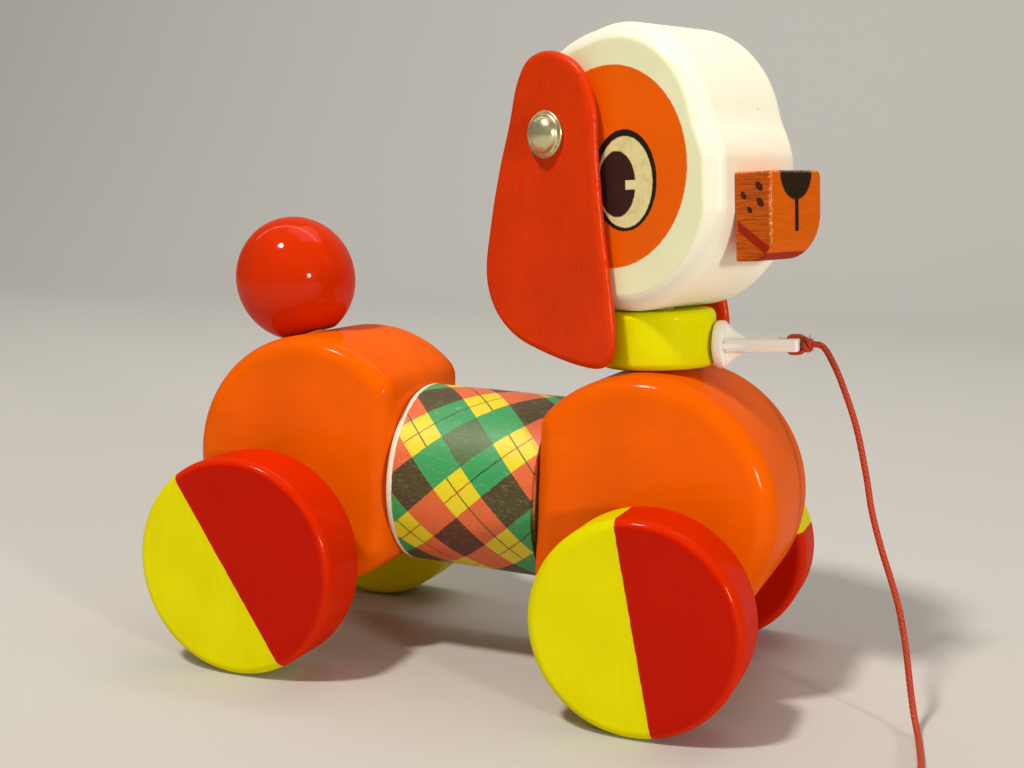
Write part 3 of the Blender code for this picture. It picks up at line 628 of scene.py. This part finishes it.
def head_paint():
    """Off-white enamel with the printed eye on its orange disc, on both sides of the head."""
    paint = enamel("head_white", 0.35, 0.26)
    x, y, z = paint.xyz
    on_side = y.abs() > HEAD["half"] - 0.25
    edge = paint.even_noise(0.8) * 0.36 - 0.18

    def oval(part, soft):
        """1 in that oval of the print."""
        cx, cz, ax, az = PRINT[part]
        u, v = (x - cx) * (1 / ax), (z - cz) * (1 / az)
        inside = ((u * u + v * v).root() + edge * (1 / ax)).ramp(1 + soft, 1 - soft)
        return inside * on_side

    grain = paint.grain((16, 16, 0.8))
    brush = paint.grain((1.0, 14, 22))
    drift = paint.even_noise(0.04).ramp(0.3, 0.7, 0.96, 1.03)
    # The flat sides are painted a darker, greener white than the rim: painted shade.
    base = paint.mix(on_side, srgb(252, 250, 230), srgb(242, 244, 202))
    colour = paint.shade(base, drift * grain.ramp(0.3, 0.8, 1.005, 0.985))
    scuffs = paint.grain((0.7, 0.7, 5.0), rough=0.7).ramp(0.67, 0.73)
    corner = (y.abs() > 13.8) * (y.abs() < HEAD["half"] - 0.1)
    facet = x > HEAD["facet"] - 3.2
    colour = paint.mix(scuffs * (corner * 0.1 + facet * 0.14), colour, srgb(150, 136, 100))
    nibs = speckle(paint, 0.12, 0.05, 0.35)
    colour = paint.mix(nibs * 0.5, colour, srgb(150, 130, 90))
    disc = oval("disc", 0.006)
    orange = paint.shade(srgb(241, 99, 0), grain.ramp(0.3, 0.8, 1.01, 0.98) * drift)
    colour = paint.mix(disc, colour, orange)
    colour = paint.mix(oval("rim", 0.012), colour, srgb(38, 30, 18))
    age = paint.even_noise(0.25, 5.0, 0.7)
    eye_white = paint.mix(age.ramp(0.35, 0.7), srgb(238, 226, 168), srgb(216, 204, 136))
    colour = paint.mix(oval("white", 0.014), colour, eye_white)
    notch = (x > NOTCH["x"]) * (z < NOTCH["z1"]) * (z > NOTCH["z0"])
    pupil = oval("pupil", 0.02) * (1.0 - notch)
    colour = paint.mix(pupil, colour, paint.mix(age, srgb(46, 26, 22), srgb(66, 40, 34)))
    paint.set("Base Color", colour)
    print_height = disc * 0.25 + pupil * 0.1
    paint.bump(grain * 0.2 + brush * 0.3 + print_height, 0.1)
    paint.set("Roughness", brush.ramp(0.3, 0.7, 0.24, 0.4) + disc * 0.04)
    return paint.material


def muzzle_paint():
    """Stained wood: open grain on the sides, a printed nose, freckles and a mouth line."""
    m = MUZZLE
    paint = enamel("muzzle_stain", 0.22, 0.34)
    x, y, z = paint.xyz
    side = y.abs() > m["half"] - 0.2
    front = x > m["x1"] - 0.9
    grain = paint.grain((9, 9, 0.34), detail=5.0, rough=0.7, distort=0.4)
    fine = paint.grain((3, 6, 0.25))
    smooth_wood = paint.mix(fine.ramp(0.35, 0.75), srgb(226, 102, 4), srgb(208, 90, 2))
    rough_wood = paint.mix(grain.ramp(0.36, 0.66), srgb(214, 98, 14), srgb(140, 56, 6))
    colour = paint.mix(side * 0.85, smooth_wood, rough_wood)
    wobble = paint.even_noise(0.9) * 0.6 - 0.3
    black = srgb(44, 30, 18)

    def oval(u, v, cu, cv, au, av):
        du, dv = (u - cu) * (1 / au), (v - cv) * (1 / av)
        return ((du * du + dv * dv).root() + wobble * (0.35 / au)).ramp(1.06, 0.96)

    nose = oval(y, z, *NOSE) * front
    cleft = (y.abs() + wobble * 0.25).ramp(CLEFT["half"] + 0.1, CLEFT["half"] - 0.1)
    cleft = cleft * (z > CLEFT["z0"]) * (z < CLEFT["z1"]) * front
    colour = paint.mix(nose.most(cleft), colour, black)
    c, s = FRECKLE_LEAN
    for cx, cz, au, av in FRECKLES:
        spot = oval(x * c - z * s, x * s + z * c, cx * c - cz * s, cx * s + cz * c, au, av)
        colour = paint.mix(spot * side * 0.93, colour, black)
    stroke = (x - MOUTH["x"]) * MOUTH["nx"] + (z - MOUTH["z"]) * MOUTH["nz"] + wobble * 0.3
    mouth = stroke.abs().ramp(MOUTH["half"] + 0.1, MOUTH["half"] - 0.1)
    mouth = mouth * side * (x > MOUTH["x0"])
    turned = (y - m["half"] + m["corner"]).most(0.0)      # how far round the lower corner
    rise = m["corner"] - (m["corner"] ** 2 - turned * turned).most(0.0).root()
    lip = (z - rise + wobble * 0.4).ramp(m["z0"] + 2.3, m["z0"] + 2.0)
    lip = lip * (x > m["x1"] - m["over"]) * (1.0 - side)
    colour = paint.mix(mouth.most(lip) * 0.92, colour, srgb(158, 26, 4))
    off_x, off_y, off_z = (x - m["x1"]).abs(), (y.abs() - m["half"]).abs(), (z - m["z1"]).abs()
    front_edge = (off_x + off_y).ramp(0.9, 0.3)
    top_edge = (off_z + off_y.least(off_x)).ramp(0.8, 0.3)
    chips = paint.noise(paint.vector(x * 2, y * 2, z * 1.4), 1.0, 4.0, 0.7).ramp(0.5, 0.6)
    worn = front_edge.most(top_edge) * chips
    paint.set("Base Color", paint.mix(worn * 0.85, colour, srgb(238, 210, 160)))
    paint.set("Roughness", side * 0.12 + 0.34)
    paint.bump(grain * side * 0.8 + fine * 0.2, 0.3)
    return paint.material


def ear_plastic():
    """Soft red plastic moulded with a wood grain: long fine lines and short raised dashes."""
    paint = enamel("ear_red_plastic", 0.3, 0.28, subsurface_weight=0.08, subsurface_scale=0.002)
    x, y, z = paint.xyz
    bent = x + paint.even_noise(0.03, 2.0) * 9.0
    lines = paint.noise(paint.vector(bent * 1.5, y, z * 0.11), 1.0, 4.0, 0.65)
    dashes = paint.noise(paint.vector(bent * 2.6, y, z * 0.55), 1.0, 1.0).ramp(0.6, 0.72)
    drift = paint.even_noise(0.05).ramp(0.3, 0.7, 0.93, 1.06)
    red = paint.shade(srgb(220, 56, 0), drift * lines.ramp(0.3, 0.75, 0.98, 1.02))
    nibs = speckle(paint, 0.1, 0.03, 0.2)
    paint.set("Base Color", paint.mix(nibs * 0.25, red, srgb(110, 16, 6)))
    paint.bump(lines * 0.35 + dashes * 0.65, 0.22)
    paint.set("Roughness", lines.ramp(0.3, 0.7, 0.36, 0.26))
    return paint.material


def nylon():
    """Milky nylon, a little grimy."""
    paint = Paint("plug_milky_nylon", roughness=0.34, subsurface_weight=0.12,
                  subsurface_scale=0.003)
    cloud = paint.even_noise(0.3, 4.0)
    grime = paint.even_noise(1.1, 4.0, 0.7).ramp(0.6, 0.75)
    base = paint.mix(cloud, srgb(255, 255, 250), srgb(255, 252, 238))
    paint.set("Base Color", paint.mix(grime * 0.12, base, srgb(190, 168, 128)))
    paint.bump(cloud * 0.5 + paint.even_noise(2.4, 2.0) * 0.5, 0.06)
    return paint.material


def waxed_cotton():
    """Twisted cotton: strands round the cord, with a little wax on them."""
    paint = Paint("waxed_cord", specular_ior_level=0.45)
    turn, length = paint.parts(paint.uv)[:2]
    strands = (turn * 3.0 + length * (1 / 1.5)).fract()   # three, each 1.5 mm along
    ridge = (strands - 0.5).abs() * 2.0
    fibre = paint.noise(paint.vector(turn * 9.0 + length * 2.0, length * 1.0, turn), 3.0)
    lighter = paint.mix(fibre.ramp(0.4, 0.75), srgb(182, 44, 16), srgb(212, 90, 34))
    # The grooves between the strands are painted a darker red: painted shade.
    paint.set("Base Color", paint.mix(ridge.ramp(0.6, 1.0) * 0.8, lighter, srgb(140, 24, 12)))
    paint.bump((1.0 - ridge.power(2.0)) * 0.8 + fibre * 0.2, 0.14)
    return paint.material


# ---------------------------------------------------------------- pieces
def d_outline(facing, flat):
    """A circle cut flat on one side, its two corners rounded; flat at +X where facing is 1."""
    r, corner = BLOCK["r"], BLOCK["corner"]
    reach = flat - corner                                 # to a corner's centre
    rise = sqrt((r - corner) ** 2 - reach ** 2)
    turn = atan2(rise, reach)
    upper = [(reach + corner * cos(turn * t / 8), rise + corner * sin(turn * t / 8))
             for t in range(9)]
    points = [(x, -z) for x, z in reversed(upper)]
    points += [(flat, -rise + 2 * rise * t / 8) for t in range(1, 8)] + upper
    points += [(r * cos(turn + (2 * pi - 2 * turn) * t / 96),
                r * sin(turn + (2 * pi - 2 * turn) * t / 96)) for t in range(1, 96)]
    return [(facing * x, z) for x, z in points]


def blocks():
    paint = gloss_paint("body_orange", srgb(238, 97, 0), srgb(90, 30, 10), (16, 3, 1.4), 0.13,
                        0.25)
    profile = both_edges(rounded(BLOCK["half"], BLOCK["edge"], BLOCK["edge"], 8))
    for end, (x, z), facing in (("front", FRONT_BLOCK, -1), ("rear", REAR_BLOCK, 1)):
        bm = bmesh.new()
        skin(bm, carried(d_outline(facing, FLAT[end]), profile))
        piece(f"{end}_block_painted", bm, paint, at(BODYF, x, 0, z), "body", (f"{end}_body",))


def tube():
    """The card tube under its printed paper, whose cut edge shows the card."""
    t = TUBE
    inner = t["r"] - t["wall"]
    cut_edge = ((0, 1.2), (0.12, 1.1), (0.2, 0.6), (0.7, 0.05), (1.2, 0))   # inset, x
    profile = [(inner, t["x1"]), (t["r"], t["x1"])]
    profile += [(t["r"] - inset, t["x0"] + x) for inset, x in cut_edge]
    profile += [(inner, t["x0"]), (inner, t["x1"])]
    bm = bmesh.new()
    lathe(bm, profile, 128, "X")
    piece("paper_tube", bm, tartan(), at(BODYF, 0, 0, t["z"]), "body", ("body_tube",))


def collar():
    c = COLLAR
    edge = c["r"] - c["edge"]
    profile = [(c["bore"], c["z1"])]
    profile += arc(edge, c["z1"] - c["edge"], c["edge"], 90, 0, 8)
    profile += arc(edge, c["z0"] + c["edge"], c["edge"], 0, -90, 8)
    profile += [(c["bore"], c["z0"]), (c["bore"], c["z1"])]
    bm = bmesh.new()
    lathe(bm, profile, 112, "Z")
    paint = gloss_paint("collar_yellow", srgb(228, 228, 0), srgb(150, 120, 10), (0.9, 0.9, 30),
                        0.14, 0.2)
    piece("collar_painted", bm, paint, NECK, "body", ("neck_collar",))


def tail():
    """The ball, a little longer than wide, cut flat where it meets the rump."""
    t = TAIL
    centre = t["foot"] + t["flat"]
    last = pi - acos(t["flat"] / t["r"])                  # from the top down to the cut
    profile = [(t["wide"] * sin(last * i / 40), centre + t["r"] * cos(last * i / 40))
               for i in range(41)]
    bm = bmesh.new()
    lathe(bm, profile + [(0, t["foot"])], 80, "Z")
    paint = gloss_paint("tail_red", srgb(208, 46, 0), srgb(120, 16, 2), (2.5, 2.5, 14), 0.09,
                        0.15, peel=0.072, coat=0.3)
    lean = Matrix.Rotation(radians(TAIL_LEAN), 4, "Y")
    piece("tail_ball_painted", bm, paint, at(BODYF, REAR_BLOCK[0], 0, REAR_BLOCK[1]) @ lean,
          "body", ("tail_ball",))


def wheels():
    w = WHEEL
    e, face, back = w["edge"], w["out"], w["out"] - w["thick"]
    hub = [(w["hub_r"] + 1.0, back), (w["hub_r"], back - 0.6),
           (w["hub_r"] - 0.2, back - w["hub"] + 0.8), (w["hub_r"] - 1.0, back - w["hub"]),
           (w["bore"], back - w["hub"]), (w["bore"], back + w["depth"]), (0, back + w["depth"])]
    for end, radius in WHEEL_R.items():
        profile = [(0, face), (radius * 0.5, face)]
        profile += arc(radius - e, face - e, e, 90, 0, 10)
        profile += arc(radius - e, back + e, e, 0, -90, 10) + hub
        for side, word in ((-1, "right"), (1, "left")):
            bm = bmesh.new()
            lathe(bm, [(r, side * y) for r, y in profile], 128, "Y")
            paint = two_tone(f"{end}_{word}_enamel", *WHEEL_SPLIT[end, side], radius)
            piece(f"{end}_{word}_wheel_painted", bm, paint,
                  Matrix.Translation((AXLES[end].x, 0, AXLES[end].z)), f"{end}_wheels",
                  (f"wheel_{end}_{word}",))


def head_outline():
    """The outside of the head's circles, cut off flat in front."""
    points = []
    for i in range(200):
        c, s = cos(2 * pi * i / 200), sin(2 * pi * i / 200)
        reach = 0.0
        for cx, cz, radius in HEAD_CIRCLES:
            cz -= HEAD["mid"]
            along, across = cx * c + cz * s, cx * s - cz * c
            reach = max(reach, along + sqrt(radius ** 2 - across ** 2))
        points.append((min(reach * c, HEAD["facet"]), reach * s + HEAD["mid"]))
    return points


def head():
    half, edge = HEAD["half"], HEAD["edge"]
    profile = []
    for i in range(13):                                   # between a rounding and a chamfer
        a, t = pi / 2 * i / 12, i / 12
        inset, down = 0.7 * (1 - sin(a)) + 0.3 * (1 - t), 0.7 * (1 - cos(a)) + 0.3 * t
        profile.append((edge * inset, half - edge * down))
    bm = bmesh.new()
    skin(bm, carried(head_outline(), both_edges(profile)))
    piece("head_painted", bm, head_paint(), HEADF, "head", ("head_block",),
          sharp=50)


def muzzle():
    """A block rounded most along its lower front edge and its lower left one."""
    m = MUZZLE
    over, e = m["over"], m["edge"]
    depths = [m["x0"]] + [m["x1"] - over * (1 - sin(radians(a))) for a in range(0, 61, 6)]
    depths += [m["x1"] - e * (1 - sin(radians(a))) for a in range(0, 91, 15)]
    corners = ((1, False, m["corner"], -90, 16), (1, True, 1.5, 0, 5),   # side, upper, radius,
               (-1, True, e, 90, 5), (-1, False, e, 180, 5))             # start, steps
    rings = []
    for x in depths:
        run, near = max(0.0, x - m["x1"] + over), max(0.0, x - m["x1"] + e)
        inset = e - sqrt(max(0.0, e * e - near * near))
        low = m["z0"] + over - sqrt(max(0.0, over * over - run * run))
        ring = []
        for side, upper, radius, start, steps in corners:
            cy = side * (m["half"] - inset - radius)
            cz = m["z1"] - inset - radius if upper else low + radius
            ring += [(x, y, z) for y, z in arc(cy, cz, radius, start, start + 90, steps)]
        rings.append(ring)
    bm = bmesh.new()
    skin(bm, rings)
    piece("muzzle_printed", bm, muzzle_paint(), HEADF, "head", ("muzzle_block",),
          sharp=60)


def ears():
    """The moulded ears, each with its boss, and the nails that they hang on."""
    plastic, plate = ear_plastic(), nickel()
    (wide, deep), inner, boss = EAR["edge"], EAR["gap"], EAR["boss_r"]
    outer = inner + EAR["thick"]
    outline = [(p.x, p.y) for p in spline([(x, z, 0) for x, z in EAR_OUTLINE], 1.6, True)]
    ear = rounded(outer, wide, deep, 9)
    ear += [(d, inner + outer - y) for d, y in reversed(ear)]
    n = NAIL
    under = outer + 0.3
    rim = under + 1.0
    nail = [(n["dome"] * sin(radians(a)), rim + n["high"] * cos(radians(a)))
            for a in range(0, 86, 7)]
    nail += [(n["dome"] + 0.15, rim + 0.12), (n["dome"] + 0.45, rim - 0.12),
             (n["rim"] - 0.75, rim - 0.2), (n["rim"] - 0.35, rim - 0.05),
             (n["rim"] - 0.08, rim - 0.25), (n["rim"], rim - 0.55), (n["rim"] - 0.15, under),
             (n["shank"], under), (n["shank"], 1 - n["length"]), (0, 0.3 - n["length"])]
    for side, word in ((-1, "right"), (1, "left")):
        where = axes(Vector(EAR_AT[side]), head_left.cross(neck_up), head_left, neck_up)
        bm = bmesh.new()
        skin(bm, carried(outline, [(d, side * y) for d, y in ear]))
        if side > 0:
            bmesh.ops.rotate(bm, verts=bm.verts, cent=(0, 0, 0),
                             matrix=Matrix.Rotation(radians(LEFT_EAR_HANG), 3, "Y"))
        lathe(bm, [(0, side * (inner + 0.3)), (boss, side * (inner + 0.3)), (boss, side * 0.5),
                   (boss - 0.4, side * 0.3), (0, side * 0.3)], 40, "Y")
        piece(f"{word}_ear_moulded", bm, plastic, where, f"{word}_ear", (f"ear_{word}",),
              sharp=35)
        bm = bmesh.new()
        lathe(bm, [(r, side * h) for r, h in nail], 72, "Y")
        piece(f"{word}_ear_nail", bm, plate, where, "head", (f"ear_nail_{word}",))


def soft_edge(half):
    """The profile of a thin moulding of that half thickness."""
    return both_edges([(0.35, half), (0.1, half - 0.1), (0, half - 0.35)])


def cord_plug():
    """A moulded plug: round flange, two crossed fins and a flat eyelet for the cord."""
    p = PLUG
    f, t = p["flange"], p["flange_t"]
    bm = bmesh.new()
    lathe(bm, [(0, 0.0), (f - 1.0, 0.0), (f - 0.35, 0.25), (f - 0.08, 0.7), (f, 1.2),
               (f, t - 0.7), (f - 0.2, t - 0.2), (f - 0.6, t), (0, t)], 56, "X")
    lathe(bm, [(0, -10.9), (2.7, -10.9), (3.0, -10.5), (3.0, 0.2), (0, 0.2)], 32, "X")
    root = 6.5                                            # a fin's half width at the flange
    for tip, half, lies in ((p["half_t"] - 0.2, p["fin_t"] / 2 + 0.3, False),
                            (p["half_w"] - 0.1, 0.9, True)):
        upper = [(t - 0.3, root)] + [
            (t + (p["fin"] - t) * i / 12, tip + (root - tip) * (1 - i / 12) ** 2)
            for i in range(13)]
        outline = upper + [(x, -y) for x, y in reversed(upper)]
        skin(bm, carried(outline, soft_edge(half), flat=lies))

    w, inner, corner = p["half_w"], p["slot_w"], 1.3
    s0, s1 = p["slot"]
    outside, slot = [], []
    for i in range(24):
        c, s = cos(2 * pi * i / 24), sin(2 * pi * i / 24)
        outside.append(((p["end"] - corner if c > 0 else t + corner) + corner * c,
                        (w - corner if s > 0 else corner - w) + corner * s))
        slot.append(((s1 - inner if c > 0 else s0 + inner) + inner * c, inner * s))
    edge = soft_edge(p["half_t"])
    skin(bm, carried(outside, edge, flat=True) + carried(slot, edge[::-1], -1, flat=True),
         "join")
    piece("cord_plug_moulded", bm, nylon(), PLUGF, "body", ("cord_plug",),
          sharp=35)


def inner_parts():
    """CAD pieces whose shape is right: the axles, dowels and tube plugs."""
    wood, steel = pine(), bright_steel()
    for material, names in (
            (wood, ("tube_plug_front", "tube_plug_rear", "waist_dowel", "neck_dowel",
                    "tail_dowel")),
            (steel, ("front_axle", "rear_axle"))):
        for name in names:
            frame["nodes"][name].material_slots[0].material = material


# ---------------------------------------------------------------- cord
def cord_path():
    """The fall to the ground, the coil and the tail, in mm."""
    c = COIL
    climb = c["start"] + c["turns"]
    top = climb + c["climb"]
    coil = []
    angle = c["entry"] + 8
    while angle < top + c["turns"] - 30:
        r, z = c["r0"], c["z0"]
        if angle < c["start"]:
            t = (angle - c["entry"]) / (c["start"] - c["entry"])
            r = c["entry_r"] + (c["r0"] - c["entry_r"]) * t
        elif angle < climb:
            r = c["r0"] + (c["r1"] - c["r0"]) * (angle - c["start"]) / c["turns"]
        elif angle < top:
            t = (angle - climb) / c["climb"]
            r, z = c["r1"], c["z0"] + (c["z1"] - c["z0"]) * t * t * (3 - 2 * t)
        else:
            r = c["r1"] + (c["r0"] - c["r1"]) * (angle - top) / c["turns"]
            z = c["z1"]
        a = radians(angle)
        coil.append((c["x"] + r * cos(a), c["y"] + r * sin(a), z))
        angle += 12
    start = spline(CORD_ROUTE, 1.6)
    return start + spline([start[-1]] + coil + list(TAIL_ROUTE), 1.6)[1:]


def trefoil(centre, long, wide, wave, steps):
    """A knot drawn out along x: a closed winding that passes over itself."""
    points = []
    for i in range(steps):
        a = 2 * pi * i / steps
        r = wide + wave * cos(3 * a)
        points.append((centre[0] + long * sin(3 * a), centre[1] + r * cos(2 * a),
                       centre[2] + r * sin(2 * a)))
    return points


def eyelet_knot():
    """Two turns of cord through the eyelet, the knot on them and its frayed end."""
    bm = bmesh.new()
    end = PLUG["end"]
    turn = ((0.62, -1.3), (0.3, -2.2), (-2.6, -2.3), (-3.3, -1.2), (-3.3, 1.2), (-2.6, 2.3))
    corners = turn + ((0.3, 2.2), (0.62, 1.3)) + turn + ((0.2, 2.2), (1.4, 1.2))   # x, z
    turns = [(end + x, -0.9 + 1.7 * i / (len(corners) - 1), z)
             for i, (x, z) in enumerate(corners)]
    sweep(bm, spline(turns, 0.45), 0.62, 10)
    knot = trefoil((end + 2.0, 0, 0), 0.8, 1.12, 0.5, 120)
    sweep(bm, knot + knot[:1], 0.74, 10)
    lead = [(end + 0.7, 0.1, 0.9), (end + 1.4, 0.2, 0.4), (end + 2.4, 0, 0.1),
            (end + 3.6, 0, 0.1), (end + 4.9, 0, 0.0)]
    sweep(bm, spline(lead, 0.4), 1.25, 10, lambda t: 1.0 - 0.3 * t)
    fray = ((2.4, 0.3, 1.9, 0.5, 0.1, 1.3), (1.6, -1.2, 1.7, 0.2, -0.8, 1.0),   # from, run
            (3.2, 0.5, 1.1, 0.8, 0.5, 0.9), (1.2, 0.6, -1.9, 0.2, 0.6, -0.8),
            (2.8, -0.5, 1.5, 0.5, -0.3, 1.0), (2.0, 1.7, 0.9, -0.3, 1.0, 0.5),
            (3.4, -0.4, -1.2, 0.7, -0.3, -0.8), (0.4, -0.6, 2.4, -0.4, -0.2, 0.6))
    for x, y, z, dx, dy, dz in fray:
        sweep(bm, [(end + x + dx * t, y + dy * t, z + dz * t) for t in (0, 0.5, 1.0)], 0.1, 5,
              lambda t: 1.2 - 0.8 * t)
    return bm


def pull_cord():
    wax = waxed_cotton()
    path = cord_path()
    bm = bmesh.new()
    length = sweep(bm, path, CORD_D / 2, 12)
    cord = piece("waxed_pull_cord", bm, wax, Matrix(), "body",
                 ("pull_cord", "cord_coil", "cord_tail"), sharp=60, weigh=False)
    knot = piece("cord_knot_wound", eyelet_knot(), wax, PLUGF, "body", ("cord_knot",),
                 sharp=60, weigh=False)
    bm = bmesh.new()
    sweep(bm, trefoil((path[-1][0] + 2.4, path[-1][1], 2.15), 1.426, 0.874, 0.36708, 220), 0.86,
          10)
    end_knot = piece("cord_end_knot_wound", bm, wax, Matrix(), "body", ("cord_end_knot",),
                     sharp=60, weigh=False)
    [c * MM for c in path[0]]
    [[c * MM for c in p] for p in path]


camera()
lights()
floor()
blocks()
tube()
collar()
tail()
wheels()
head()
muzzle()
ears()
cord_plug()
inner_parts()
pull_cord()
